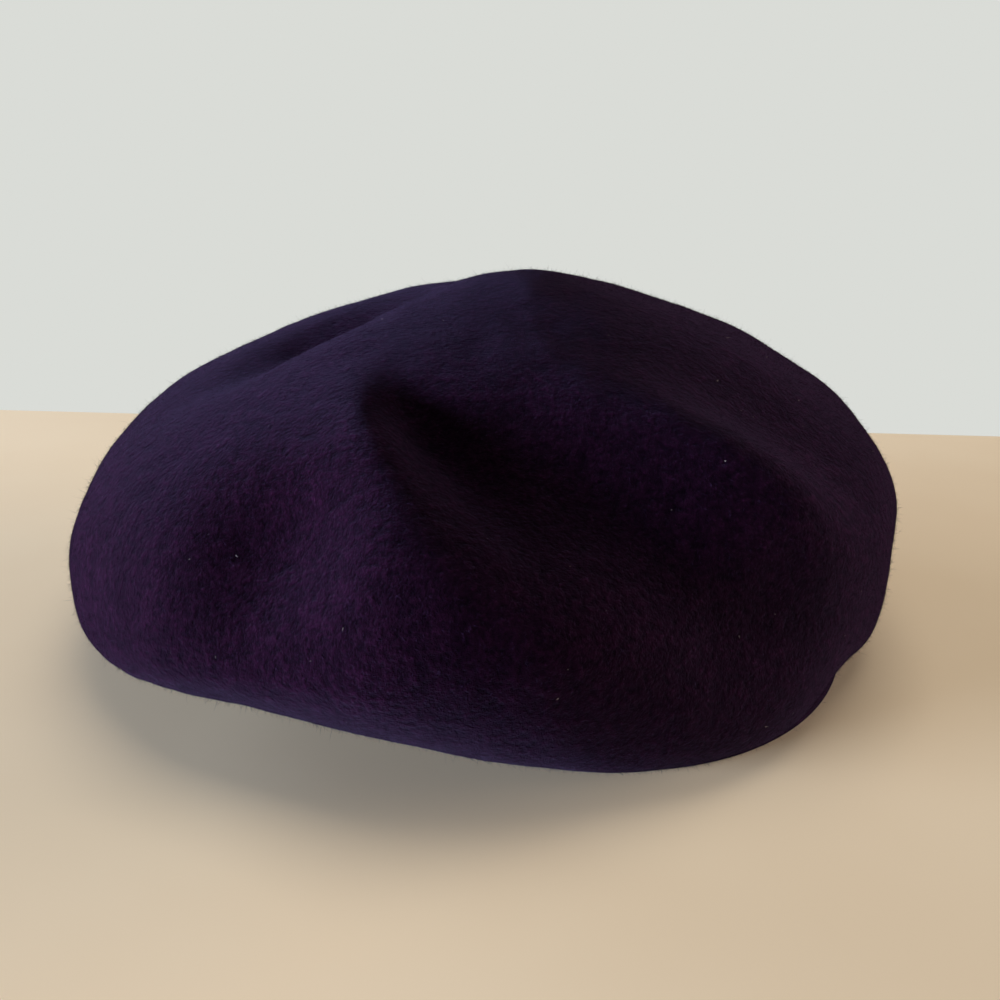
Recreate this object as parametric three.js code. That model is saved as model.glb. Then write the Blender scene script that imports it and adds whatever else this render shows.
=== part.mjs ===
// A soft wool-felt beret that lies on its head opening, with its crown slouched to one side.
//
// Millimetres. +Z is up, +X points to the short side of the overhang and +Y to the wearer's back.
// Everything is built round the crown's own axis, and the finished group is then moved so that the
// origin is the bottom centre of its bounding box.

import * as THREE from "three";

const rad = THREE.MathUtils.degToRad;
const V = (x, y, z) => new THREE.Vector3(x, y, z);

// ---------- sizes ----------

const FELT = 3.2; // thickness of the felt
const GAP = 0.6; // clearance between pieces that are sewn together

// The crown is an oval dome; its widest line sits higher on some sides than on others.
const crown = {
  radiusX: 139.8,
  radiusY: 138.4,
  height: 112.6,
  peak: { x: 12.9, y: -1.4 },
  widest: { mid: 38.7, perX: 7.15, perY: -1.67 }, // height of the widest line
  shoulder: { out: 1.087, up: 1.02 }, // exponents that shape the dome's profile
};

// The head opening is an oval that sits off the crown's axis, so the crown hangs over one side.
const opening = {
  x: 41.4,
  y: -16.6,
  radiusX: 81.5,
  radiusY: 95.9,
  crease: 16.6, // height of the crease between headband and underside
  pinch: 0.965, // how far the crease draws the band in
  edge: 0.5, // rounding of the cut lower edge
};

// How the underside hangs: each lobe acts round one azimuth. fuller rounds the underside out,
// and lower brings the crease down towards the table.
const lobes = [
  { azimuth: -67, spread: 78, fuller: 0.17, lower: 13.2 },
  { azimuth: -39, spread: 10, fuller: -0.3, lower: -3.3 },
  { azimuth: -10, spread: 40, fuller: 0.39, lower: -0.5 },
  { azimuth: 201, spread: 32, fuller: 0.43, lower: 0 },
  { azimuth: 253, spread: 25, fuller: -0.385, lower: 0 },
];

// Soft folds in the felt. Each pushes the surface along one direction, over an oval patch that
// runs length along the fold and width across it. A negative depth raises the surface.
const folds = {
  crownPeak: fold([13, 0, 115], [1, 0, 0], [0, 0, -1], 47, 37, -5.8),
  rightShoulder: fold([102, -20, 80], [0.75, 0, -0.66], [-0.66, 0, -0.75], 29, 39, 3.9),
  leftCheek: fold([-109, -74, 14], [0.6, -0.8, 0], [0.45, 0.3, 0.84], 35, 20, -5.8),
  frontLeftHollow: fold([-51, -110, 57], [0.15, -0.35, 0.92], [0.36, 0.86, -0.36], 26, 21, 13.7),
  frontHollow: fold([29, -107, 74], [0.8, -0.4, -0.45], [-0.05, 0.8, -0.6], 51, 27, 15.6),
  frontCrease: fold([-6, -98, 84], [0.6, -0.62, -0.5], [-0.35, 0.6, -0.72], 29, 9, 5.8),
  spur: fold([-27, -94, 84], [0.36, -0.78, -0.52], [-0.1, 0.61, -0.79], 35, 13, -4.9),
  rightRidge: fold([74, -88, 76], [0.84, -0.2, -0.51], [-0.35, 0.5, -0.79], 33, 12, -3.9),
  rightValley: fold([84, -66, 86], [0.84, -0.2, -0.51], [-0.35, 0.3, -0.89], 33, 17, 4.9),
  rightLowHollow: fold([74, -115, 49], [0.95, 0.32, 0], [-0.51, 0.86, 0], 33, 20, 6.8),
  topTrough: fold([-51, -10, 105], [0.81, 0.55, 0.2], [0.1, 0.1, -0.99], 45, 16, 10.7),
  leftBackHollow: fold([-104, 52, 66], [0.25, -0.35, 0.9], [0.75, -0.4, -0.53], 34, 26, 6.5),
  backHollow: fold([-18, 112, 72], [0.9, 0.1, 0.43], [0, -0.85, -0.53], 40, 24, 7),
  backRidge: fold([30, 104, 82], [0.62, -0.5, 0.6], [0, -0.7, -0.7], 34, 15, -3.5),
  backRightHollow: fold([84, 92, 60], [0.5, -0.3, 0.81], [-0.6, -0.7, -0.38], 30, 22, 6),
};
const FOLDS_FADE = [6, 24]; // heights between which the folds fade in, so the band stays true

const ribbon = { low: 2.4, tall: 25, thick: 0.7 };
const thread = { radius: 0.28, pitch: 9.4, swing: 1.4, height: 5.6 };

const mesh = { around: 52, dome: 16, underside: 9, band: 3 };

// ---------- small helpers ----------

function fold(at, along, push, length, width, depth) {
  return {
    at: V(...at),
    along: V(...along).normalize(),
    push: V(...push).normalize(),
    length,
    width,
    depth,
  };
}

const ovalRadius = (oval, azimuth) =>
  1 / Math.hypot(Math.cos(azimuth) / oval.radiusX, Math.sin(azimuth) / oval.radiusY);

// The sum of one property over the lobes, each weighted by how near it is in azimuth.
function lobeSum(property, azimuth) {
  return lobes.reduce((sum, lobe) => {
    const turned = azimuth - rad(lobe.azimuth) + Math.PI;
    const away = THREE.MathUtils.euclideanModulo(turned, 2 * Math.PI) - Math.PI;
    return sum + lobe[property] * Math.exp(-((away / rad(lobe.spread)) ** 2));
  }, 0);
}

function folded(point) {
  const moved = point.clone();
  const share = THREE.MathUtils.smoothstep(point.z, ...FOLDS_FADE);
  for (const { at, along, push, length, width, depth } of Object.values(folds)) {
    const from = point.clone().sub(at);
    const u = from.dot(along);
    const across2 = Math.max(0, from.lengthSq() - u * u);
    moved.addScaledVector(push, share * depth * Math.exp(-((u / length) ** 2) - across2 / width ** 2));
  }
  return moved;
}

// ---------- the felt's outer face ----------

const creaseHeight = (azimuth) => opening.crease - lobeSum("lower", azimuth);

// How far the crease draws the band in: less where the crease lies low.
const pinchAt = (azimuth) => 1 - ((1 - opening.pinch) * creaseHeight(azimuth)) / opening.crease;

// Distance of the headband's outer face from the opening's centre, at a height below the crease.
function bandRadius(azimuth, z) {
  const down = THREE.MathUtils.clamp(1 - z / creaseHeight(azimuth), 0, 1);
  const swell = THREE.MathUtils.lerp(pinchAt(azimuth), 1, Math.sin(Math.PI * 0.62 * down));
  return ovalRadius(opening, azimuth) * swell;
}

const fromOpening = (azimuth, radius, z) =>
  V(opening.x + radius * Math.cos(azimuth), opening.y + radius * Math.sin(azimuth), z);

function widestPoint(azimuth) {
  const radius = ovalRadius(crown, azimuth);
  const { mid, perX, perY } = crown.widest;
  return V(
    radius * Math.cos(azimuth),
    radius * Math.sin(azimuth),
    mid + perX * Math.cos(azimuth) + perY * Math.sin(azimuth),
  );
}

// One point of the dome; share runs from 0 at the peak to 1 at the widest line.
function domePoint(azimuth, share) {
  const widest = widestPoint(azimuth);
  const out = Math.sin((share * Math.PI) / 2) ** crown.shoulder.out;
  const up = Math.max(0, Math.cos((share * Math.PI) / 2)) ** crown.shoulder.up;
  return V(
    THREE.MathUtils.lerp(crown.peak.x, widest.x, out),
    THREE.MathUtils.lerp(crown.peak.y, widest.y, out),
    THREE.MathUtils.lerp(widest.z, crown.height, up),
  );
}

// One point of the underside; share runs from 0 at the widest line to 1 at the crease.
function undersidePoint(azimuth, share) {
  const widest = widestPoint(azimuth);
  const crease = fromOpening(
    azimuth,
    ovalRadius(opening, azimuth) * pinchAt(azimuth),
    creaseHeight(azimuth),
  );
  const sharpness = 1 - lobeSum("fuller", azimuth);
  const out = Math.max(0, Math.cos((share * Math.PI) / 2)) ** (0.93 * sharpness);
  const down = Math.sin((share * Math.PI) / 2) ** sharpness;
  return V(
    THREE.MathUtils.lerp(crease.x, widest.x, out),
    THREE.MathUtils.lerp(crease.y, widest.y, out),
    THREE.MathUtils.lerp(widest.z, crease.z, down),
  );
}

function bandPoint(azimuth, share) {
  const z = THREE.MathUtils.lerp(creaseHeight(azimuth), opening.edge, share);
  return fromOpening(azimuth, bandRadius(azimuth, z), z);
}

// ---------- meshes from rows of points ----------

// A closed surface through rows of points, each row a ring; a row of one point closes an end.
function skin(rows, rowsClosed = false) {
  const points = rows.flat();
  const start = rows.map((_, i) => rows.slice(0, i).reduce((n, r) => n + r.length, 0));
  const faces = [];
  const last = rowsClosed ? rows.length : rows.length - 1;
  for (let i = 0; i < last; i++) {
    const [above, below] = [rows[i], rows[(i + 1) % rows.length]];
    const [a, b] = [start[i], start[(i + 1) % rows.length]];
    const n = Math.max(above.length, below.length);
    for (let j = 0; j < n; j++) {
      const k = (j + 1) % n;
      const [a0, a1] = above.length === 1 ? [a, a] : [a + j, a + k];
      const [b0, b1] = below.length === 1 ? [b, b] : [b + j, b + k];
      if (b0 !== b1) faces.push(a0, b0, b1);
      if (a0 !== a1) faces.push(a0, b1, a1);
    }
  }
  return new THREE.BufferGeometry().setFromPoints(points).setIndex(faces);
}

const ringAzimuths = () =>
  Array.from({ length: mesh.around }, (_, j) => (2 * Math.PI * j) / mesh.around);

// Rings of the felt, from the peak down to the cut edge.
function feltRows() {
  const azimuths = ringAzimuths();
  const ring = (pointAt, share) => azimuths.map((azimuth) => folded(pointAt(azimuth, share)));
  const shares = (n) => Array.from({ length: n }, (_, i) => (i + 1) / n);
  return [
    ...shares(mesh.dome).map((share) => ring(domePoint, share)),
    ...shares(mesh.underside).map((share) => ring(undersidePoint, share)),
    ...shares(mesh.band).map((share) => ring(bandPoint, share)),
  ];
}

// The surface normal at each point of a grid of rings, facing out.
function outwardNormals(rows) {
  return rows.map((row, i) =>
    row.map((_, j) => {
      const n = row.length;
      const down = rows[Math.min(i + 1, rows.length - 1)][j].clone().sub(rows[Math.max(i - 1, 0)][j]);
      const round = row[(j + 1) % n].clone().sub(row[(j + n - 1) % n]);
      return down.cross(round).normalize();
    }),
  );
}

function feltGeometry() {
  const outer = feltRows();
  const normals = outwardNormals(outer);
  const inner = outer.map((row, i) => row.map((p, j) => p.clone().addScaledVector(normals[i][j], -FELT)));
  const peak = folded(domePoint(0, 0));
  // The cut edge: a flat ring at z = 0, with both of its corners eased.
  const towards = (from, to) =>
    from.map((p, j) => {
      const step = to[j].clone().sub(p).setZ(0).setLength(opening.edge);
      return p.clone().add(step).setZ(0);
    });
  const [outerEdge, innerEdge] = [outer.at(-1), inner.at(-1)];
  const level = innerEdge.map((p) => p.clone().setZ(opening.edge));
  return skin([
    [peak],
    ...outer,
    towards(outerEdge, level),
    towards(level, outerEdge),
    level,
    ...inner.slice(0, -1).reverse(),
    [peak.clone().setZ(peak.z - FELT)],
  ]);
}

// ---------- places on the ribbon ----------

// A point at distance lift inside the ribbon's inner face, at arc length along from an azimuth.
function onRibbon(azimuth, along, z, lift) {
  const face = (a) => fromOpening(a, bandRadius(a, z) - FELT - GAP - ribbon.thick, z);
  const reach = ovalRadius(opening, azimuth) - FELT - GAP - ribbon.thick;
  const at = azimuth + along / reach;
  const [before, after] = [face(at - 0.01), face(at + 0.01)];
  const inward = V(0, 0, 1).cross(after.sub(before)).normalize();
  return face(at).addScaledVector(inward, lift);
}

// A woven strip that follows path, a list of [a, b] pairs, and spans across[0] to across[1].
// place(a, c, b) puts a path point at one place across the strip into space.
function strip({ path, closed = false, thick, across, columns = 1, place }) {
  const n = path.length;
  const side = (i, sign) => {
    const [p, q] = closed
      ? [path[(i + n - 1) % n], path[(i + 1) % n]]
      : [path[Math.max(i - 1, 0)], path[Math.min(i + 1, n - 1)]];
    const [da, db] = [q[0] - p[0], q[1] - p[1]];
    const half = (sign * thick) / 2 / Math.hypot(da, db);
    return [path[i][0] - db * half, path[i][1] + da * half];
  };
  const rows = path.map((_, i) => {
    const [front, back] = [side(i, 1), side(i, -1)];
    const at = Array.from({ length: columns + 1 }, (_, j) =>
      THREE.MathUtils.lerp(across[0], across[1], j / columns),
    );
    return [
      ...at.map((c) => place(front[0], c, front[1])),
      ...at.toReversed().map((c) => place(back[0], c, back[1])),
    ];
  });
  const geometry = skin(rows, closed);
  if (!closed) {
    const faces = Array.from(geometry.index.array);
    const ring = 2 * (columns + 1);
    const end = (n - 1) * ring;
    for (let j = 0; j < columns; j++) {
      const [a, b, c, d] = [j, j + 1, ring - 2 - j, ring - 1 - j];
      faces.push(a, b, c, a, c, d);
      faces.push(end + a, end + c, end + b, end + a, end + d, end + c);
    }
    geometry.setIndex(faces);
  }
  return facingOut(geometry);
}

// A thread through points, square in section; inward[i] is the side it shows at each point.
function threadGeometry(points, closed) {
  const n = points.length;
  const rows = points.map((p, i) => {
    const before = points[closed ? (i + n - 1) % n : Math.max(i - 1, 0)];
    const after = points[closed ? (i + 1) % n : Math.min(i + 1, n - 1)];
    const run = after.clone().sub(before).normalize();
    const across = run.clone().cross(V(opening.x, opening.y, p.z).sub(p)).normalize();
    const out = across.clone().cross(run);
    return [0, 1, 2, 3].map((k) =>
      p
        .clone()
        .addScaledVector(across, thread.radius * Math.cos((k * Math.PI) / 2))
        .addScaledVector(out, thread.radius * Math.sin((k * Math.PI) / 2)),
    );
  });
  return facingOut(skin(closed ? rows : [[points[0]], ...rows, [points.at(-1)]], closed));
}

// Turns a closed geometry round if its faces point inwards.
function facingOut(geometry) {
  const [p, index] = [geometry.getAttribute("position"), geometry.index.array];
  const corner = (i) => V().fromBufferAttribute(p, index[i]);
  let volume = 0;
  for (let i = 0; i < index.length; i += 3)
    volume += corner(i).dot(corner(i + 1).cross(corner(i + 2)));
  if (volume < 0) geometry.setIndex(Array.from(index).reverse());
  return geometry;
}

// ---------- the trims ----------

const BACK = rad(90);
const FRONT = rad(270);
const SIDE = rad(0);

function ribbonGeometry() {
  const azimuths = ringAzimuths();
  const heights = [0, 0.1, 0.2, 0.36, 0.56, 1].map((share) => ribbon.low + share * ribbon.tall);
  const ring = (z, lift) => azimuths.map((azimuth) => onRibbon(azimuth, 0, z, lift));
  return facingOut(
    skin(
      [
        ...heights.map((z) => ring(z, 0)),
        ...heights.toReversed().map((z) => ring(z, -ribbon.thick)),
      ],
      true,
    ),
  );
}

// A zigzag of thread on a face lift above the ribbon, between two arc lengths or all round.
function zigzag({ azimuth = 0, from, to, steps, z, swing, lift }) {
  const all = from === undefined;
  const points = Array.from({ length: all ? steps : steps + 1 }, (_, i) => {
    const height = z + (i % 2 ? swing : -swing);
    return all
      ? onRibbon((2 * Math.PI * i) / steps, 0, height, lift)
      : onRibbon(azimuth, THREE.MathUtils.lerp(from, to, i / steps), height, lift);
  });
  return threadGeometry(points, all);
}

// A zigzag that climbs the ribbon, at one end of a label.
function climbingZigzag({ azimuth, along, low, high, steps, swing, lift }) {
  const points = Array.from({ length: steps + 1 }, (_, i) =>
    onRibbon(azimuth, along + (i % 2 ? swing : -swing), THREE.MathUtils.lerp(low, high, i / steps), lift),
  );
  return threadGeometry(points, false);
}

const bow = { reach: 21, low: 9, high: 19.5, thick: 0.5, lift: 3.4 };

function bowLoops() {
  const half = [
    [0, 0.6],
    [7, 1.1],
    [15, 1.6],
    [19.8, 1],
    [bow.reach, 0],
    [19.8, -1],
    [15, -1.6],
    [7, -1.1],
    [0, -0.6],
  ];
  const path = [...half, ...half.slice(1, -1).map(([along, lift]) => [-along, -lift])];
  return strip({
    path: path.map(([along, lift]) => [along, bow.lift + lift]),
    closed: true,
    thick: bow.thick,
    across: [bow.low, bow.high],
    place: (along, z, lift) => onRibbon(BACK, along, z, lift),
  });
}

function bowKnot() {
  const path = Array.from({ length: 20 }, (_, i) => {
    const turn = (2 * Math.PI * i) / 20;
    const squared = (v) => Math.sign(v) * Math.abs(v) ** 0.5;
    return [
      (bow.low + bow.high) / 2 + ((bow.high - bow.low) / 2 + 1) * squared(Math.cos(turn)),
      bow.lift + 1.8 * squared(Math.sin(turn)),
    ];
  });
  return strip({
    path,
    closed: true,
    thick: 0.4,
    across: [-2.6, 2.6],
    place: (z, along, lift) => onRibbon(BACK, along, z, lift),
  });
}

const label = { half: 22, low: 8.5, high: 22.5, thick: 0.5, lift: 0.8 };

function makerLabel() {
  return strip({
    path: [
      [label.low, label.lift],
      [(label.low + label.high) / 2, label.lift],
      [label.high, label.lift],
    ],
    thick: label.thick,
    across: [-label.half, label.half],
    columns: 10,
    place: (z, along, lift) => onRibbon(FRONT, along, z, lift),
  });
}

const labelStitch = (side) =>
  climbingZigzag({
    azimuth: FRONT,
    along: side * (label.half - 2),
    low: label.low + 1,
    high: label.high - 1,
    steps: 10,
    swing: 0.8,
    lift: label.lift + label.thick / 2 + 0.4 + thread.radius,
  });

// A tab folded double that hangs from the ribbon's upper part, its fold at the bottom.
function tab({ centre, half, top, bottom }) {
  const path = [
    [top, 0.9],
    [(top + bottom) / 2, 1.1],
    [bottom + 1, 1.2],
    [bottom, 1.75],
    [bottom + 1, 2.3],
    [(top + bottom) / 2, 2.2],
    [top, 1.9],
  ];
  return strip({
    path,
    thick: 0.35,
    across: [centre - half, centre + half],
    columns: 4,
    place: (z, along, lift) => onRibbon(SIDE, along, z, lift),
  });
}

// ---------- the object ----------

const colours = {
  felt: 0x33202f,
  ribbon: 0x17121a,
  thread: 0x241a28,
  label: 0xcfc8ba,
  tab: 0xe4e0d6,
};

const materials = Object.fromEntries(
  Object.entries(colours).map(([name, color]) => [
    name,
    new THREE.MeshStandardMaterial({ name, color, roughness: name === "felt" ? 1 : 0.8 }),
  ]),
);

const beret = new THREE.Group();
beret.name = "beret";

function add(name, geometry, material) {
  const piece = new THREE.Mesh(geometry, materials[material]);
  piece.name = name;
  geometry.computeVertexNormals();
  beret.add(piece);
}

add("felt_body", feltGeometry(), "felt");
add("sweatband_ribbon", ribbonGeometry(), "ribbon");
add(
  "ribbon_stitch",
  zigzag({
    steps: 2 * Math.round((2 * Math.PI * 88) / thread.pitch),
    z: thread.height,
    swing: thread.swing,
    lift: 0.7 + thread.radius,
  }),
  "thread",
);
add("bow_loops", bowLoops(), "ribbon");
add("bow_knot", bowKnot(), "ribbon");
add("maker_label", makerLabel(), "label");
add("label_stitch_left", labelStitch(-1), "thread");
add("label_stitch_right", labelStitch(1), "thread");
add("care_label", tab({ centre: -4, half: 10, top: 24, bottom: 9 }), "tab");
add("size_tab", tab({ centre: 14, half: 6, top: 24, bottom: 14 }), "tab");
add(
  "tab_stitch",
  zigzag({ azimuth: SIDE, from: -14, to: 20, steps: 12, z: 22.4, swing: 0.7, lift: 2.7 + thread.radius }),
  "thread",
);

// The group's origin: bottom centre of the bounding box.
const box = new THREE.Box3().setFromObject(beret);
const centre = box.getCenter(V());
for (const piece of beret.children)
  piece.geometry.translate(-centre.x, -centre.y, -box.min.z);

export default beret;
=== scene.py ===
"""Blender scene of a soft wool-felt beret that lies on its head opening, slouched to one side.

The felt is built from the same sizes as part.mjs, at a much finer pitch, with soft unevenness
and a nap of loose fibres on it. Sizes below are in millimetres round the crown's own axis, and
ROW_SHIFT moves them into the CAD frame; every mesh is in metres in that frame.
"""

import math

import bpy
import numpy as np
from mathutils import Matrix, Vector, noise


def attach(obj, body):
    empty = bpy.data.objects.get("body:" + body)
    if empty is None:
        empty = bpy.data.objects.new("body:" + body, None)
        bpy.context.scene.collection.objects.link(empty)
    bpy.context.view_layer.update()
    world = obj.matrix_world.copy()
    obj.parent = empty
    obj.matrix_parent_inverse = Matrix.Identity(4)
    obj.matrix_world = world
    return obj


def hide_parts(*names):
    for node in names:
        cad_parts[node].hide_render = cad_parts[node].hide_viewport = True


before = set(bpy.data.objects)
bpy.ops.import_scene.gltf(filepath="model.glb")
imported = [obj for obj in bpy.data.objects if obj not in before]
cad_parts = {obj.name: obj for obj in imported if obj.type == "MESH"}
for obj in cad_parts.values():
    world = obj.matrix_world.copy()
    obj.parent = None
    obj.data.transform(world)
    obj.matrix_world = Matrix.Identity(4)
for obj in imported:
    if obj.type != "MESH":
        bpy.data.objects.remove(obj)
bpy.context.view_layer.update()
MM = 0.001

# ---------- sizes, as in part.mjs ----------

FELT = 3.2
GAP = 0.6
CROWN = dict(radius=(139.8, 138.4), height=112.6, peak=(12.9, -1.4))
WIDEST = dict(mid=38.7, per_x=7.15, per_y=-1.67)
SHOULDER = dict(out=1.087, up=1.02)
OPENING = dict(centre=(41.4, -16.6), radius=(81.5, 95.9), crease=16.6, pinch=0.965, edge=0.5)
LOBES = [  # azimuth and spread in degrees, fuller, lower
    (-67, 78, 0.17, 13.2),
    (-39, 10, -0.3, -3.3),
    (-10, 40, 0.39, -0.5),
    (201, 32, 0.43, 0),
    (253, 25, -0.385, 0),
]
FOLDS = {  # at, along, push, length, width, depth
    "crown_peak": ((13, 0, 115), (1, 0, 0), (0, 0, -1), 47, 37, -5.8),
    "right_shoulder": ((102, -20, 80), (0.75, 0, -0.66), (-0.66, 0, -0.75), 29, 39, 3.9),
    "left_cheek": ((-109, -74, 14), (0.6, -0.8, 0), (0.45, 0.3, 0.84), 35, 20, -5.8),
    "front_left_hollow": ((-51, -110, 57), (0.15, -0.35, 0.92), (0.36, 0.86, -0.36), 26, 21, 13.7),
    "front_hollow": ((29, -107, 74), (0.8, -0.4, -0.45), (-0.05, 0.8, -0.6), 51, 27, 15.6),
    "front_crease": ((-6, -98, 84), (0.6, -0.62, -0.5), (-0.35, 0.6, -0.72), 29, 9, 5.8),
    "spur": ((-27, -94, 84), (0.36, -0.78, -0.52), (-0.1, 0.61, -0.79), 35, 13, -4.9),
    "right_ridge": ((74, -88, 76), (0.84, -0.2, -0.51), (-0.35, 0.5, -0.79), 33, 12, -3.9),
    "right_valley": ((84, -66, 86), (0.84, -0.2, -0.51), (-0.35, 0.3, -0.89), 33, 17, 4.9),
    "right_low_hollow": ((74, -115, 49), (0.95, 0.32, 0), (-0.51, 0.86, 0), 33, 20, 6.8),
    "top_trough": ((-51, -10, 105), (0.81, 0.55, 0.2), (0.1, 0.1, -0.99), 45, 16, 10.7),
    "left_back_hollow": ((-104, 52, 66), (0.25, -0.35, 0.9), (0.75, -0.4, -0.53), 34, 26, 6.5),
    "back_hollow": ((-18, 112, 72), (0.9, 0.1, 0.43), (0, -0.85, -0.53), 40, 24, 7),
    "back_ridge": ((30, 104, 82), (0.62, -0.5, 0.6), (0, -0.7, -0.7), 34, 15, -3.5),
    "back_right_hollow": ((84, 92, 60), (0.5, -0.3, 0.81), (-0.6, -0.7, -0.38), 30, 22, 6),
}
FOLDS_FADE = (6, 24)  # the folds start at the first height and are full at the second
RIBBON = dict(low=2.4, tall=25, thick=0.7, around=514)
SWELL = 0.62  # share of a half wave that the headband swells by below its crease
UNDERSIDE_OUT = 0.93  # below 1, the underside stays low for longer as it leaves the crease


def row_shift():
    """Where the crown's own axis lies in the CAD frame, from the CAD felt's flat edge."""
    on_table = 1e-5
    flat = [v.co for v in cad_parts["felt_body"].data.vertices if v.co.z < on_table]
    middle = [(min(c[k] for c in flat) + max(c[k] for c in flat)) / 2 / MM for k in (0, 1)]
    return np.array([middle[0] - OPENING["centre"][0], middle[1] - OPENING["centre"][1], 0.0])


ROW_SHIFT = row_shift()

# ---------- the felt's outer face ----------


def smooth(x, low, high):
    t = np.clip((x - low) / (high - low), 0, 1)
    return t * t * (3 - 2 * t)


def unit(v):
    return v / np.maximum(np.linalg.norm(v, axis=-1, keepdims=True), 1e-12)


def lerp(a, b, t):
    return a + (b - a) * t


def oval_radius(radius, azimuth):
    return 1 / np.hypot(np.cos(azimuth) / radius[0], np.sin(azimuth) / radius[1])


def lobe_sum(which, azimuth):
    """The sum of fuller (2) or lower (3) over the lobes, by nearness in azimuth."""
    total = 0.0
    for lobe in LOBES:
        away = (np.degrees(azimuth) - lobe[0] + 180) % 360 - 180
        total = total + lobe[which] * np.exp(-((away / lobe[1]) ** 2))
    return total


def folded(points):
    """The points, pushed in or out by every fold: each fades with distance from its own line."""
    moved = points.copy()
    share = smooth(points[..., 2], *FOLDS_FADE)
    for at, along, push, length, width, depth in FOLDS.values():
        offset = points - np.array(at, float)
        u = offset @ unit(np.array(along, float))
        across2 = np.maximum(0, (offset**2).sum(-1) - u * u)
        weight = share * depth * np.exp(-((u / length) ** 2) - across2 / width**2)
        moved += weight[..., None] * unit(np.array(push, float))
    return moved


def crease_height(azimuth):
    return OPENING["crease"] - lobe_sum(3, azimuth)


def pinch(azimuth):
    """How far the crease draws the band in: less where the crease lies low."""
    return 1 - (1 - OPENING["pinch"]) * crease_height(azimuth) / OPENING["crease"]


def band_radius(azimuth, z):
    down = np.clip(1 - z / crease_height(azimuth), 0, 1)
    swell = lerp(pinch(azimuth), 1, np.sin(math.pi * SWELL * down))
    return oval_radius(OPENING["radius"], azimuth) * swell


def from_opening(azimuth, radius, z):
    x, y = OPENING["centre"]
    z = z + 0 * (azimuth + radius)
    return np.stack([x + radius * np.cos(azimuth), y + radius * np.sin(azimuth), z], -1)


def widest_point(azimuth):
    radius = oval_radius(CROWN["radius"], azimuth)
    c, s = np.cos(azimuth), np.sin(azimuth)
    z = WIDEST["mid"] + WIDEST["per_x"] * c + WIDEST["per_y"] * s
    return np.stack([radius * c, radius * s, z], -1)


def dome(azimuth, share):
    widest = widest_point(azimuth)
    out = np.sin(share * math.pi / 2) ** SHOULDER["out"]
    up = np.cos(share * math.pi / 2).clip(0) ** SHOULDER["up"]
    px, py = CROWN["peak"]
    return np.stack(
        [
            lerp(px, widest[..., 0], out),
            lerp(py, widest[..., 1], out),
            lerp(widest[..., 2], CROWN["height"], up),
        ],
        -1,
    )


def underside(azimuth, share):
    widest = widest_point(azimuth)
    pinched = oval_radius(OPENING["radius"], azimuth) * pinch(azimuth)
    crease = from_opening(azimuth, pinched, crease_height(azimuth))
    sharpness = 1 - lobe_sum(2, azimuth)
    out = np.cos(share * math.pi / 2).clip(0) ** (UNDERSIDE_OUT * sharpness)
    down = np.sin(share * math.pi / 2) ** sharpness
    return np.stack(
        [
            lerp(crease[..., 0], widest[..., 0], out),
            lerp(crease[..., 1], widest[..., 1], out),
            lerp(widest[..., 2], crease[..., 2], down),
        ],
        -1,
    )


def band(azimuth, share):
    z = lerp(crease_height(azimuth), OPENING["edge"], share)
    return from_opening(azimuth, band_radius(azimuth, z), z)


AROUND = 400  # columns of the fine felt
DOME_ROWS, UNDER_ROWS, BAND_ROWS = 110, 46, 16
INNER_EVERY, INNER_BAND_EVERY = 3, 2  # the inner face keeps one row in so many
CALM_ROWS = (BAND_ROWS - 4, BAND_ROWS + 14)  # the ribbon lies flat, so the relief starts past it
RELIEF = ((46, 1.3), (19, 0.55), (7.5, 0.22))  # size and height of each soft unevenness
RELIEF_FADE = (2, 14)  # the relief starts at the first height and is full at the second


def relief(points, normals, calm=1.0):
    """Soft unevenness of thick felt, less where calm is below 1: moves points along their normals."""
    out = np.zeros(points.shape[:-1])
    fade = smooth(points[..., 2], *RELIEF_FADE) * calm
    for size, height in RELIEF:
        for index in np.ndindex(out.shape):
            out[index] += height * noise.noise(Vector(points[index] / size + size))
    return points + (out * fade)[..., None] * normals


def grid_normals(grid):
    """Outward normals of rows of rings."""
    down = np.gradient(grid, axis=0)
    around = np.roll(grid, -1, axis=1) - np.roll(grid, 1, axis=1)
    return unit(np.cross(down, around))


def felt_outer():
    """The outer face as rows of rings from the top to the edge, and its normals."""
    azimuth = np.linspace(0, 2 * math.pi, AROUND, endpoint=False)[None, :]

    def rows(shape, n):
        return shape(azimuth, (np.arange(n)[:, None] + 1) / n)

    grid = folded(
        np.concatenate([rows(dome, DOME_ROWS), rows(underside, UNDER_ROWS), rows(band, BAND_ROWS)])
    )
    rows_from_edge = np.arange(len(grid))[::-1, None]
    grid = relief(grid, grid_normals(grid), smooth(rows_from_edge, *CALM_ROWS))
    return grid, grid_normals(grid)


# ---------- meshes ----------


def new_object(name, vertices, faces, material):
    """A mesh from points in millimetres round the crown's axis."""
    mesh = bpy.data.meshes.new(name)
    mesh.from_pydata((np.asarray(vertices) + ROW_SHIFT) * MM, [], [[int(v) for v in f] for f in faces])
    mesh.update()
    mesh.shade_smooth()
    return link_object(name, mesh, material)


def link_object(name, mesh, material):
    obj = bpy.data.objects.new(name, mesh)
    bpy.context.collection.objects.link(obj)
    mesh.materials.append(material)
    return obj


def ring_faces(rows, columns, closed_rows=False):
    """Quads between rows of rings."""
    i = np.arange(rows if closed_rows else rows - 1)[:, None]
    j = np.arange(columns)[None, :]
    k = (j + 1) % columns
    below = (i + 1) % rows
    return np.stack(
        np.broadcast_arrays(i * columns + j, below * columns + j, below * columns + k, i * columns + k),
        -1,
    ).reshape(-1, 4)


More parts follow.
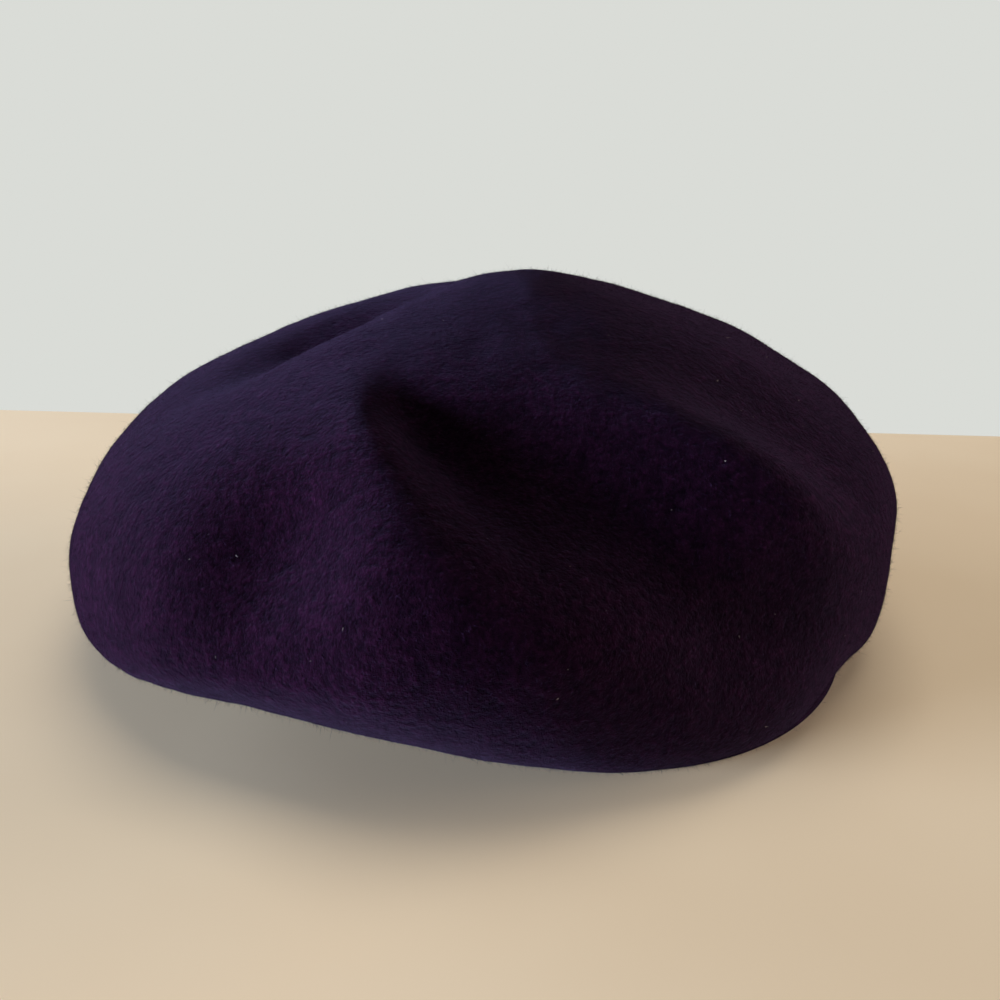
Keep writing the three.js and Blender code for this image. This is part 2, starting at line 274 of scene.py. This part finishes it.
def make_felt(material):
    """The closed shell: outer face, rounded edge on the table, inner face and the two tops."""
    outer, normals = felt_outer()
    band_start, last_row = len(outer) - BAND_ROWS, len(outer) - 1
    keep = {*range(0, band_start, INNER_EVERY), *range(band_start, last_row, INNER_BAND_EVERY), last_row}
    inner = (outer - normals * FELT)[sorted(keep)]
    edge = OPENING["edge"]
    lip_out, lip_in = outer[-1], inner[-1].copy()
    lip_in[:, 2] = edge
    inward = unit((lip_in - lip_out) * [1, 1, 0])
    corner = []
    for turn in np.radians([30, 60, 90]):
        p = lip_out + inward * edge * (1 - math.cos(turn))
        p[:, 2] = edge * (1 - math.sin(turn))
        corner.append(p)
    for turn in np.radians([90, 60, 30, 0]):
        p = lip_in - inward * edge * (1 - math.cos(turn))
        p[:, 2] = edge * (1 - math.sin(turn))
        corner.append(p)
    grid = np.concatenate([outer, np.array(corner), inner[:-1][::-1]])
    rows, columns = grid.shape[:2]
    faces = [tuple(f) for f in ring_faces(rows, columns)]
    top = np.array([[*CROWN["peak"], CROWN["height"]]], float)
    top = relief(folded(top), np.array([[0.0, 0, 1]]))
    under = top - [[0, 0, FELT]]
    vertices = np.concatenate([grid.reshape(-1, 3), top, under])
    apex, nadir = rows * columns, rows * columns + 1
    last = (rows - 1) * columns
    for j in range(columns):
        k = (j + 1) % columns
        faces.append((apex, j, k))
        faces.append((nadir, last + k, last + j))
    return new_object("beret_felt", vertices, faces, material), outer, normals


# ---------- the nap ----------

# count is the fibres in each piece; long: middle, spread, least and most length in mm;
# lift: mean and spread in degrees; half: least and most half width in mm.
NAP_KINDS = {
    "nap_lock": dict(
        pieces=5, count=50000, segments=2, curl=0.5,
        long=(1.3, 0.4, 0.5, 3.4), lift=(13, 9), half=(0.028, 0.06),
    ),
    "nap_stray": dict(
        pieces=1, count=39000, segments=3, curl=0.4,
        long=(1.7, 0.4, 0.7, 4.6), lift=(42, 20), half=(0.018, 0.032),
    ),
}
LINT = dict(count=420, segments=2, curl=0.8, long=(0.6, 0.5, 0.3, 2.0), lift=(22, 10), half=(0.08, 0.16))
NAP_FLAT_ROWS, NAP_FLAT_EDGE = 4, 0.3  # the rows that rest on the table, and the nap left there
NAP_PATCHES = ((4.2, 0.9), (1.9, 0.5))  # size and strength of the patches that fibres gather in
ROOT_DEPTH = 0.1  # how far under the surface a fibre starts


def nap_weights(grid):
    """Where fibres grow: by area, in soft patches."""
    a, b = grid[:-1], grid[1:]
    a2, b2 = np.roll(a, -1, axis=1), np.roll(b, -1, axis=1)
    halves = np.cross(b - a, a2 - a), np.cross(b - b2, a2 - b2)
    area = sum(np.linalg.norm(half, axis=-1) for half in halves)
    area[-NAP_FLAT_ROWS:] *= NAP_FLAT_EDGE
    for index in np.ndindex(area.shape):
        gathered = (strength * noise.noise(Vector(a[index] / size)) for size, strength in NAP_PATCHES)
        area[index] *= sum(gathered, 1)
    return np.maximum(area, 0).ravel()


def fibres(name, kind, grid, normals, weights, material, rng):
    """Fine curved blades rooted just under the felt's surface, brushed mostly one way."""
    n, segments = kind["count"], kind["segments"]
    cells = grid.shape[0] - 1, grid.shape[1]
    i, j = np.unravel_index(rng.choice(weights.size, n, p=weights / weights.sum()), cells)
    u, v = rng.random((2, n, 1))
    k = (j + 1) % grid.shape[1]
    root = lerp(lerp(grid[i, j], grid[i, k], u), lerp(grid[i + 1, j], grid[i + 1, k], u), v)
    normal = unit(lerp(normals[i, j], normals[i + 1, k], v))
    down = unit(grid[i + 1, j] - grid[i, j])
    x, y, z = root.T[:, :, None]
    turn = 0.5 + 0.8 * np.sin(x / 31 + y / 47) + 0.6 * np.sin(y / 23 - z / 17) + rng.normal(0, 0.6, (n, 1))
    lie = unit(down * np.cos(turn) + np.cross(normal, down) * np.sin(turn))
    side = np.cross(normal, lie)
    middle, spread, low, high = kind["long"]
    long = np.clip(middle * np.exp(rng.normal(0, spread, (n, 1))), low, high)
    lift = np.radians(np.clip(rng.normal(*kind["lift"], (n, 1)), 3, 85))
    curl = rng.normal(0, kind["curl"], (n, 1))
    fall = rng.uniform(-0.5, 0.25, (n, 1))
    half = rng.uniform(*kind["half"], (n, 1))
    across = unit(side + normal * rng.normal(0, 0.5, (n, 1)))
    centre = root - normal * ROOT_DEPTH
    points = []
    for step in range(segments):
        width = half * (1 - 0.7 * step / segments)
        points += [centre - across * width, centre + across * width]
        heading = lie * np.cos(curl * step) + side * np.sin(curl * step)
        rise = lift * (1 + fall * step)
        centre = centre + (heading * np.cos(rise) + normal * np.sin(rise)) * long / segments
    points = np.stack([*points, centre], 1)
    per = 2 * segments + 1
    corners = [[2 * q, 2 * q + 1, 2 * q + 3, 2 * q + 2] for q in range(segments - 1)]
    corners = np.concatenate([*corners, [per - 3, per - 2, per - 1]])
    mesh = bpy.data.meshes.new(name)
    mesh.vertices.add(per * n)
    mesh.vertices.foreach_set("co", ((points.reshape(-1, 3) + ROW_SHIFT) * MM).ravel())
    mesh.loops.add(corners.size * n)
    mesh.loops.foreach_set("vertex_index", (np.arange(n)[:, None] * per + corners).ravel())
    mesh.polygons.add(segments * n)
    starts = np.arange(n)[:, None] * corners.size + 4 * np.arange(segments)
    mesh.polygons.foreach_set("loop_start", starts.ravel())
    mesh.update()
    mesh.validate()
    return link_object(name, mesh, material)


# ---------- places on the ribbon ----------

BACK, FRONT, SIDE = math.radians(90), math.radians(270), 0.0
WAVE = 0.3  # how far the ribbon's free edge waves in and out


def on_ribbon(azimuth, along, z, lift):
    """Points lift inside the ribbon's inner face, at arc length along from an azimuth."""
    inset = FELT + GAP + RIBBON["thick"]
    at = azimuth + along / (oval_radius(OPENING["radius"], azimuth) - inset)
    at, z, lift = np.broadcast_arrays(at, z, lift)
    share = np.clip((z - RIBBON["low"]) / RIBBON["tall"], 0, 1)
    lift = lift + WAVE * share**2 * (np.sin(5 * at + 1) + np.sin(11 * at)) / 2

    def face(a):
        return from_opening(a, band_radius(a, z) - inset, z)

    run = face(at + 0.01) - face(at - 0.01)
    inward = unit(np.stack([-run[..., 1], run[..., 0], 0 * at], -1))
    return face(at) + lift[..., None] * inward


def facing_out(vertices, faces):
    """The faces, turned round if they face inwards."""
    a, b, c, d = (vertices[faces[:, k]] for k in range(4))
    volume = (a * (np.cross(b, c) + np.cross(c, d))).sum()
    return faces if volume > 0 else faces[:, ::-1]


def along_curve(points, step, closed):
    """Points about a step apart on a smooth curve through the given ones."""
    p = np.array(points, float)
    ends = (p[-1:], p[:2]) if closed else (2 * p[:1] - p[1:2], 2 * p[-1:] - p[-2:-1])
    p = np.concatenate([ends[0], p, ends[1]])
    t = np.linspace(0, 1, 24, endpoint=False)[:, None]
    curve = []
    for a, b, c, d in zip(p, p[1:], p[2:], p[3:]):
        bend = (c - a) * t + (2 * a - 5 * b + 4 * c - d) * t**2 + (3 * b - a - 3 * c + d) * t**3
        curve.append(b + 0.5 * bend)
    curve = np.concatenate([*curve, p[-2][None]])
    return evenly(curve, step, closed)


def evenly(curve, step, closed):
    """Points about a step apart along a fine curve; their number is a multiple of four."""
    away = np.concatenate([[0], np.cumsum(np.linalg.norm(np.diff(curve, axis=0), axis=1))])
    n = 4 * round(away[-1] / step / 4)
    s = np.linspace(0, away[-1], n, endpoint=not closed)
    return np.stack([np.interp(s, away, column) for column in curve.T], -1)


# ---------- woven strips ----------

RIB = dict(pitch=0.85, depth=0.13, profile=np.array([0, 0.75, 1, 0.75]))  # grosgrain's cross ribs


def strip(name, path, closed, thick, across, columns, place, material, ribbed=False, pinch_at=None):
    """A strip of cloth along path, rows of (a, b); place(a, c, b) puts its points in space."""
    n = len(path)
    ahead = np.roll(path, -1, 0) - np.roll(path, 1, 0)
    if not closed:
        ahead[0], ahead[-1] = path[1] - path[0], path[-1] - path[-2]
    normal = unit(np.stack([-ahead[:, 1], ahead[:, 0]], -1))
    rib = RIB["profile"][np.arange(n) % 4][:, None] * ribbed
    v = np.linspace(0, 1, columns + 1)[None, :]
    at_edge = (v == 0) | (v == 1)
    half = (thick / 2 - RIB["depth"] * (1 - rib) * ribbed) * np.where(at_edge, 0.45, 1)
    middle = (across[0] + across[1]) / 2
    c = lerp(across[0], across[1], v) + 0.7 * RIB["depth"] * rib * (1.0 * (v == 1) - 1.0 * (v == 0))
    if pinch_at is not None:
        c = middle + (c - middle) * pinch_at(path)[:, None]
    c = np.broadcast_to(c, half.shape)
    shift = normal[:, None] * half[..., None]
    ab = np.concatenate([path[:, None] + shift, (path[:, None] - shift)[:, ::-1]], 1)
    c = np.concatenate([c, c[:, ::-1]], 1)
    points = place(ab[..., 0], c, ab[..., 1])
    ring = 2 * columns + 2
    faces = ring_faces(n, ring, closed_rows=closed)
    if not closed:
        j = np.arange(columns)[:, None]
        cap = np.concatenate([j, j + 1, ring - 2 - j, ring - 1 - j], 1)
        faces = np.concatenate([faces, cap, (n - 1) * ring + cap[:, ::-1]])
    vertices = points.reshape(-1, 3)
    return new_object(name, vertices, facing_out(vertices, faces), material)


def make_ribbon(material):
    """The grosgrain sweatband: a ring with a rib every RIB pitch, drawn in at its stitches."""
    around = 4 * round(RIBBON["around"] / RIB["pitch"])
    azimuth = np.linspace(0, 2 * math.pi, around, endpoint=False)[None, :]
    rib = RIB["profile"][np.arange(around) % 4][None, :]
    share = np.linspace(0, 1, 17)[:, None]
    edge = 1.0 * (share == 1) - 1.0 * (share == 0)
    z = RIBBON["low"] + share * RIBBON["tall"] + 0.7 * RIB["depth"] * rib * edge
    drawn = 0.1 * np.exp(-(((z - THREAD["height"]) / 2) ** 2))
    half = (RIBBON["thick"] / 2 - RIB["depth"] * (1 - rib)) * np.where(edge != 0, 0.45, 1)
    front = on_ribbon(azimuth, 0, z, half - RIBBON["thick"] / 2 - drawn)
    back = on_ribbon(azimuth, 0, z, -half - RIBBON["thick"] / 2)
    grid = np.concatenate([front, back[::-1]])
    vertices = grid.reshape(-1, 3)
    faces = facing_out(vertices, ring_faces(len(grid), around, closed_rows=True))
    return new_object("ribbon", vertices, faces, material)


BOW = dict(reach=21, low=9, high=19.5, thick=0.5, lift=3.4, drawn_in=0.16, drawn_reach=6)
KNOT = dict(half=2.6, thick=0.4, past=1, out=1.8)


def make_bow(material):
    """Two flat loops drawn in at the middle, and the wrap that holds them there."""
    return bow_loops(material), bow_wrap_ring(material)


def bow_loops(material):
    rise = [(0, 0.6), (7, 1.1), (15, 1.6), (19.8, 1)]
    half = [*rise, (BOW["reach"], 0), *((a, -b) for a, b in rise[::-1])]
    path = [*half, *((-a, -b) for a, b in half[1:-1])]
    path = along_curve([(a, BOW["lift"] + b) for a, b in path], RIB["pitch"] / 4, True)

    def place(a, c, b):
        return on_ribbon(BACK, a, c, b)

    def drawn_in(path):
        return 1 - BOW["drawn_in"] * np.exp(-((path[:, 0] / BOW["drawn_reach"]) ** 2))

    across = BOW["low"], BOW["high"]
    return strip("bow", path, True, BOW["thick"], across, 12, place, material, ribbed=True, pinch_at=drawn_in)


def bow_wrap_ring(material):
    turn = np.linspace(0, 2 * math.pi, 160, endpoint=False)
    middle = (BOW["low"] + BOW["high"]) / 2
    tall = (BOW["high"] - BOW["low"]) / 2 + KNOT["past"]

    def squared(v):
        return np.sign(v) * np.abs(v) ** 0.5

    height = middle + tall * squared(np.cos(turn))
    lift = BOW["lift"] + KNOT["out"] * squared(np.sin(turn))
    path = np.stack([height, lift], -1)
    path = evenly(np.concatenate([path, path[:1]]), RIB["pitch"] / 4, True)

    def place(a, c, b):
        return on_ribbon(BACK, c, a, b)

    across = -KNOT["half"], KNOT["half"]
    return strip("bow_wrap", path, True, KNOT["thick"], across, 10, place, material, ribbed=True)


LABEL = dict(half=22, low=8.5, high=22.5, thick=0.5, lift=0.8)


def make_label(material):
    """A woven label with its ends turned under, a little slack between its stitched ends."""
    z = np.linspace(LABEL["low"], LABEL["high"], 37)
    path = np.stack([z, LABEL["lift"] + 0 * z], -1)

    def place(a, c, b):
        folded_end = 0.12 * smooth(abs(c), LABEL["half"] - 4.4, LABEL["half"] - 3.6)
        between = 0.1 * np.cos(a * 2.1 + 0.4) * smooth(abs(c), 12, 20)
        return on_ribbon(FRONT, c, a, b + (folded_end + between) * (b > LABEL["lift"]))

    across = -LABEL["half"], LABEL["half"]
    return strip("label", path, False, LABEL["thick"], across, 110, place, material)


TAPES = {  # centre, half, top, bottom of each folded tape at the wearer's side
    "care_tape": (-4, 10, 24, 9),
    "size_tape": (14, 6, 24, 14),
}
TAPE_THICK = 0.35


def make_tape(name, material):
    """A tape folded double that hangs from the ribbon's upper part, its corners curled out."""
    centre, half, top, bottom = TAPES[name]
    middle = (top + bottom) / 2
    down = [(top, 0.9), (middle, 1.1), (bottom + 1, 1.2), (bottom, 1.75)]
    path = [*down, (bottom + 1, 2.3), (middle, 2.2), (top, 1.9)]

    def place(a, c, b):
        hang = smooth(top - a, 2, top - bottom)
        curl = 0.55 * hang * ((c - centre) / half) ** 2 + 0.2 * hang * np.sin(c * 0.6)
        return on_ribbon(SIDE, c, a, b + curl * (b > 1))

    path = along_curve(path, 0.3, False)
    across = centre - half, centre + half
    return strip(name, path, False, TAPE_THICK, across, 2 * half, place, material)


# ---------- threads ----------

THREAD = dict(strand=0.15, twist=0.13, lay=1.5, step=0.19, pitch=9.4, swing=1.4, height=5.6)
STITCH = dict(samples=12, sunk=0.12, stands=0.5, round=0.6)
SEAM_RADIUS = 88  # the ribbon's mean radius, which sets how many stitches go round it


def twisted_thread(name, points, closed, material):
    """Two strands twisted round each other along points."""
    curve = np.concatenate([points, points[:1]]) if closed else points
    line = evenly(curve, THREAD["step"], closed)
    n = len(line)
    run = unit(np.roll(line, -1, 0) - np.roll(line, 1, 0)) if closed else unit(np.gradient(line, axis=0))
    inward = (np.array([*OPENING["centre"], 0]) - line) * [1, 1, 0]
    across = unit(np.cross(run, unit(inward)))
    out = np.cross(across, run)
    turns = round(n * THREAD["step"] / THREAD["lay"])
    phase = 2 * math.pi * turns * np.arange(n)[:, None] / n
    sides = 6
    vertices, faces = [], []
    for strand in range(2):
        angle = phase + math.pi * strand
        core = line + THREAD["twist"] * (np.cos(angle) * out + np.sin(angle) * across)
        turn = 2 * math.pi * np.arange(sides)[None, :, None] / sides
        spoke = np.cos(turn) * out[:, None] + np.sin(turn) * across[:, None]
        ring = core[:, None] + THREAD["strand"] * spoke
        quads = ring_faces(n, sides, closed_rows=closed)
        if not closed:
            cap = np.array([[0, 1, 2, 3], [0, 3, 4, 5]])
            quads = np.concatenate([quads, cap[:, ::-1], (n - 1) * sides + cap])
        flat = ring.reshape(-1, 3)
        faces.append(facing_out(flat, quads) + strand * n * sides)
        vertices.append(flat)
    return new_object(name, np.concatenate(vertices), np.concatenate(faces), material)


def stitched(steps):
    """Per sample of a zigzag: progress 0 to 1, swing -1 to 1, and how far the thread stands up."""
    t = np.linspace(0, steps, steps * STITCH["samples"] + 1)
    part = t % 1
    swing = np.where(t // 1 % 2 == 0, 2 * part - 1, 1 - 2 * part)
    up = STITCH["stands"] * np.sin(math.pi * part).clip(0) ** STITCH["round"] - STITCH["sunk"]
    return t / steps, swing, up


def ribbon_thread(material):
    steps = 2 * round(2 * math.pi * SEAM_RADIUS / THREAD["pitch"])
    share, swing, up = (v[:-1] for v in stitched(steps))
    points = on_ribbon(2 * math.pi * share, 0, THREAD["height"] + THREAD["swing"] * swing, up)
    return twisted_thread("ribbon_thread", points, True, material)


def label_thread(side, material):
    share, swing, up = stitched(14)
    z = lerp(LABEL["low"] + 1, LABEL["high"] - 1, share)
    lift = LABEL["lift"] + LABEL["thick"] / 2 + 0.12 + up
    points = on_ribbon(FRONT, side * (LABEL["half"] - 2) + 0.8 * swing, z, lift)
    return twisted_thread("label_thread_" + ("right" if side > 0 else "left"), points, False, material)


def tape_thread(material):
    share, swing, up = stitched(16)
    points = on_ribbon(SIDE, lerp(-14, 20, share), 22.4 + 0.7 * swing, 2.35 + up)
    return twisted_thread("tape_thread", points, False, material)


# ---------- materials ----------


class Nodes:
    """A small helper that builds one material's node tree."""

    def __init__(self, name):
        self.material = bpy.data.materials.new(name)
        self.material.use_nodes = True
        self.tree = self.material.node_tree
        self.shader = self.tree.nodes["Principled BSDF"]
        self.object_space = self.add("ShaderNodeTexCoord").outputs["Object"]

    def add(self, kind, **settings):
        node = self.tree.nodes.new(kind)
        for key, value in settings.items():
            if key in node.inputs:
                node.inputs[key].default_value = value
            else:
                setattr(node, key, value)
        return node

    def link(self, source, target):
        self.tree.links.new(source, target)

    def noise(self, scale, detail=4.0, roughness=0.6, stretch=None):
        node = self.add("ShaderNodeTexNoise", Scale=scale, Detail=detail, Roughness=roughness)
        vector = self.object_space
        if stretch:
            mapping = self.add("ShaderNodeMapping", Scale=stretch)
            self.link(vector, mapping.inputs["Vector"])
            vector = mapping.outputs["Vector"]
        self.link(vector, node.inputs["Vector"])
        return node.outputs["Fac"]

    def weave(self, period, axis):
        """Even bands of one yarn, period millimetres apart along an object axis."""
        scale = 2 * math.pi / (20 * period * MM)
        node = self.add("ShaderNodeTexWave", bands_direction=axis, wave_profile="SIN", Scale=scale)
        self.link(self.object_space, node.inputs["Vector"])
        return node.outputs["Fac"]

    def height_ramp(self, low, high, edges):
        """1 between the first two and the last two edges, as shares of the height low to high."""
        split = self.add("ShaderNodeSeparateXYZ")
        self.link(self.object_space, split.inputs[0])
        span = self.add("ShaderNodeMapRange")
        self.link(split.outputs["Z"], span.inputs["Value"])
        span.inputs["From Min"].default_value = low * MM
        span.inputs["From Max"].default_value = high * MM
        node = self.add("ShaderNodeValToRGB")
        node.color_ramp.interpolation = "CONSTANT"
        while len(node.color_ramp.elements) < 5:
            node.color_ramp.elements.new(0.5)
        for index, (element, position) in enumerate(zip(node.color_ramp.elements, (0, *edges))):
            element.position = position
            element.color = (*3 * (float(index in (1, 3)),), 1)
        self.link(span.outputs["Result"], node.inputs["Fac"])
        return node.outputs["Color"]

    def ramp(self, source, *stops):
        """Maps a value to colours: stops are (position, (r, g, b))."""
        node = self.add("ShaderNodeValToRGB")
        ramp = node.color_ramp
        while len(ramp.elements) < len(stops):
            ramp.elements.new(0.5)
        for element, (position, colour) in zip(ramp.elements, stops):
            element.position = position
            element.color = (*colour, 1)
        self.link(source, node.inputs["Fac"])
        return node.outputs["Color"]

    def mix(self, factor, a, b, blend="MIX"):
        node = self.add("ShaderNodeMix", data_type="RGBA", blend_type=blend)
        for socket, value in zip((node.inputs[0], node.inputs[6], node.inputs[7]), (factor, a, b)):
            if isinstance(value, bpy.types.NodeSocket):
                self.link(value, socket)
            else:
                socket.default_value = value if isinstance(value, float) else (*value, 1)
        return node.outputs[2]

    def bump(self, *heights):
        """Chains bumps: each is (height socket, strength, distance)."""
        normal = None
        for height, strength, distance in heights:
            node = self.add("ShaderNodeBump", Strength=strength, Distance=distance)
            self.link(height, node.inputs["Height"])
            if normal:
                self.link(normal, node.inputs["Normal"])
            normal = node.outputs["Normal"]
        self.link(normal, self.shader.inputs["Normal"])

    def colour(self, source):
        self.link(source, self.shader.inputs["Base Color"])

    def set(self, **values):
        for key, value in values.items():
            name = key.replace("_", " ").title().replace("Ior", "IOR")
            socket = self.shader.inputs[name]
            socket.default_value = (*value, 1) if isinstance(value, tuple) else value


def felt_material():
    """Dark plum felt: mottled, clumped and grained, with a violet bloom."""
    m = Nodes("wool_felt")
    mottle = m.noise(38, 3, 0.55)
    patches = m.noise(210, 4, 0.65)
    clumps = m.noise(520, 3, 0.6)
    fibres = m.noise(1000, 5, 0.75)
    body = m.ramp(mottle, (0.3, (0.006, 0.0012, 0.0047)), (0.7, (0.0088, 0.0018, 0.007)))
    tone = m.ramp(patches, (0.3, (0.62, 0.62, 0.66)), (0.7, (1.35, 1.35, 1.4)))
    grain = m.ramp(fibres, (0.32, (0.4, 0.38, 0.4)), (0.56, (1.0, 1.0, 1.0)), (0.72, (2.3, 2.2, 2.4)))
    lumps = m.ramp(clumps, (0.34, (0.55, 0.55, 0.6)), (0.66, (1.6, 1.6, 1.7)))
    colour = body
    for layer in (tone, lumps, grain):
        colour = m.mix(1.0, colour, layer, "MULTIPLY")
    m.colour(colour)
    m.set(roughness=0.95, specular_ior_level=0.0)
    m.set(sheen_weight=0.085, sheen_roughness=0.45, sheen_tint=(0.52, 0.42, 0.86))
    m.bump((patches, 0.5, 0.0016), (clumps, 0.7, 0.001), (fibres, 0.8, 0.0008))
    return m.material


def nap_material():
    m = Nodes("wool_nap")
    shade = m.noise(620, 3, 0.6)
    stops = (0.32, (0.0037, 0.001, 0.0038)), (0.55, (0.0108, 0.0037, 0.0132)), (0.72, (0.045, 0.027, 0.068))
    m.colour(m.ramp(shade, *stops))
    m.set(roughness=0.85, specular_ior_level=0.0)
    m.set(sheen_weight=0.05, sheen_roughness=0.35, sheen_tint=(0.55, 0.5, 1.0))
    return m.material


def lint_material():
    m = Nodes("lint")
    m.colour(m.ramp(m.noise(90, 1, 0.5), (0.35, (0.07, 0.055, 0.08)), (0.65, (0.3, 0.26, 0.26))))
    m.set(roughness=0.9, specular_ior_level=0.1)
    return m.material


def ribbon_material():
    """Ribbed rayon and cotton ribbon: dark, with a fine warp and patchy wear in its colour and gloss."""
    m = Nodes("grosgrain")
    wear = m.noise(60, 4, 0.6)
    yarn = m.noise(2600, 3, 0.6)
    warp = m.weave(0.22, "Z")
    colour = m.ramp(wear, (0.3, (0.010, 0.006, 0.014)), (0.7, (0.022, 0.014, 0.029)))
    shade = m.ramp(yarn, (0.3, (0.55, 0.55, 0.55)), (0.7, (1.5, 1.5, 1.5)))
    m.colour(m.mix(1.0, colour, shade, "MULTIPLY"))
    m.link(m.ramp(wear, (0.3, (0.5, 0.5, 0.5)), (0.7, (0.68, 0.68, 0.68))), m.shader.inputs["Roughness"])
    m.set(specular_ior_level=0.35, sheen_weight=0.05, sheen_roughness=0.35)
    m.bump((warp, 0.35, 0.00006), (yarn, 0.4, 0.00008))
    return m.material


def thread_material():
    m = Nodes("polyester_thread")
    ply = m.noise(3200, 2, 0.5, stretch=(1, 1, 0.4))
    m.colour(m.ramp(ply, (0.3, (0.012, 0.007, 0.017)), (0.7, (0.04, 0.024, 0.052))))
    m.set(roughness=0.42, specular_ior_level=0.45)
    m.bump((ply, 0.5, 0.00005))
    return m.material


BORDER_LINES = (0.085, 0.125, 0.875, 0.915)  # the label's two woven lines, as shares of its height


def woven_material(name, across, tones, border=None):
    """A fine plain or satin weave; across is the object axis that runs along the cloth."""
    m = Nodes(name)
    warp, weft = m.weave(0.3, across), m.weave(0.24, "Z")
    soil = m.noise(130, 4, 0.6)
    slub = m.noise(1500, 3, 0.6)
    colour = m.ramp(soil, (0.3, tones[0]), (0.7, tones[1]))
    cloth = m.ramp(warp, (0.0, (0.72, 0.71, 0.7)), (0.6, (1.0, 1.0, 1.0)))
    colour = m.mix(1.0, colour, cloth, "MULTIPLY")
    uneven = m.ramp(slub, (0.3, (0.88, 0.88, 0.88)), (0.7, (1.08, 1.08, 1.08)))
    colour = m.mix(1.0, colour, uneven, "MULTIPLY")
    if border:
        low, high, ink = border
        line = m.height_ramp(low, high, BORDER_LINES)
        colour = m.mix(line, colour, ink)
    m.colour(colour)
    m.set(roughness=0.5, specular_ior_level=0.4, sheen_weight=0.06, sheen_roughness=0.4)
    m.bump((warp, 0.5, 0.00008), (weft, 0.4, 0.00006), (slub, 0.25, 0.0001))
    return m.material


# ---------- stage, light and camera ----------


LIGHTS = [  # name, place, size in metres, watts, colour
    ("window", (-3.0, -0.9, 0.18), (1.8, 0.34), 385, (0.76, 0.86, 1.0)),
    ("window_behind", (-2.6, 1.7, 0.5), (1.6, 0.6), 70, (0.8, 0.88, 1.0)),
    ("room", (2.9, 0.6, 0.25), (1.8, 0.45), 155, (1.0, 0.86, 0.74)),
    ("ceiling", (0.3, 0.5, 3.0), (2.2, 2.2), 34, (1.0, 0.93, 0.82)),
]
AMBIENT = (0.04, 0.04, 0.04)
BACKDROP = (0.7, 0.715, 0.68)
LIT_POINT = (0, 0, 0.05)
TABLE = (1.2, 0.33, 0.108)  # half its width, and how far back its left and right corners lie, in metres
EYE = (5.9, -340.3, 166.7)  # in millimetres round the crown's axis
LOOKS_DOWN = 21  # degrees


def area_light(name, place, aim, size, energy, colour):
    data = bpy.data.lights.new(name, "AREA")
    data.shape, data.size, data.size_y = "RECTANGLE", *size
    data.energy, data.color = energy, colour
    light = bpy.data.objects.new(name, data)
    bpy.context.collection.objects.link(light)
    light.location = place
    light.rotation_euler = (Vector(aim) - Vector(place)).to_track_quat("-Z", "Y").to_euler()


def make_stage():
    """A pale table, its lights and the world."""
    m = Nodes("floor")
    m.colour(m.ramp(m.noise(9, 3, 0.5), (0.3, (0.95, 0.78, 0.57)), (0.7, (0.98, 0.82, 0.61))))
    m.set(roughness=0.9, specular_ior_level=0.1)
    mesh = bpy.data.meshes.new("floor")
    half, back_left, back_right = TABLE
    corners = (-half, -half, 0), (half, -half, 0), (half, back_right, 0), (-half, back_left, 0)
    mesh.from_pydata(corners, [], [(0, 1, 2, 3)])
    link_object("floor", mesh, m.material)
    make_world()
    for name, place, size, energy, colour in LIGHTS:
        area_light(name, place, LIT_POINT, size, energy, colour)
    bpy.context.scene.view_settings.view_transform = "Standard"


def make_world():
    """A pale backdrop all round that gives almost no light itself."""
    world = bpy.data.worlds.new("studio")
    bpy.context.scene.world = world
    world.use_nodes = True
    nodes, links = world.node_tree.nodes, world.node_tree.links
    seen = nodes.new("ShaderNodeLightPath").outputs["Is Camera Ray"]
    mix = nodes.new("ShaderNodeMix")
    mix.data_type = "RGBA"
    mix.inputs[6].default_value = (*AMBIENT, 1)
    mix.inputs[7].default_value = (*BACKDROP, 1)
    links.new(seen, mix.inputs[0])
    links.new(mix.outputs[2], nodes["Background"].inputs["Color"])


def make_camera():
    """The eye stands in front of the crown, a little above it, and looks down at it."""
    data = bpy.data.cameras.new("camera")
    data.sensor_width = data.lens = 36.0
    camera = bpy.data.objects.new("camera", data)
    bpy.context.collection.objects.link(camera)
    camera.location = (Vector(EYE) + Vector(ROW_SHIFT)) * MM
    camera.rotation_euler = (math.radians(90 - LOOKS_DOWN), 0, 0)
    bpy.context.scene.camera = camera


# ---------- the object ----------


def piece(obj, node=None):
    """Puts one piece on the object's only body, in place of a CAD node if one is named."""
    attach(obj, "root")
    if node:
        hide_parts(node)
    return obj


rng = np.random.default_rng(7)
make_stage()
make_camera()

felt, outer_grid, outer_normals = make_felt(felt_material())
piece(felt, "felt_body")
wool = nap_material()
rooted_in = outer_grid, outer_normals, nap_weights(outer_grid)
for kind_name, kind in NAP_KINDS.items():
    for number in range(kind["pieces"]):
        piece(fibres(f"{kind_name}_{number + 1}", kind, *rooted_in, wool, rng))
piece(fibres("lint", LINT, *rooted_in, lint_material(), rng))

grosgrain, thread = ribbon_material(), thread_material()
ribbon = piece(make_ribbon(grosgrain), "sweatband_ribbon")
piece(ribbon_thread(thread), "ribbon_stitch")
bow, bow_wrap = make_bow(grosgrain)
piece(bow, "bow_loops")
piece(bow_wrap, "bow_knot")
label_border = LABEL["low"], LABEL["high"], (0.06, 0.025, 0.07)
label_cloth = woven_material("woven_label", "X", ((0.58, 0.52, 0.42), (0.66, 0.6, 0.49)), label_border)
label = piece(make_label(label_cloth), "maker_label")
piece(label_thread(-1, thread), "label_stitch_left")
piece(label_thread(1, thread), "label_stitch_right")
tape_cloth = woven_material("satin_tape", "Y", ((0.7, 0.68, 0.63), (0.78, 0.76, 0.72)))
care = piece(make_tape("care_tape", tape_cloth), "care_label")
size = piece(make_tape("size_tape", tape_cloth), "size_tab")
piece(tape_thread(thread), "tab_stitch")
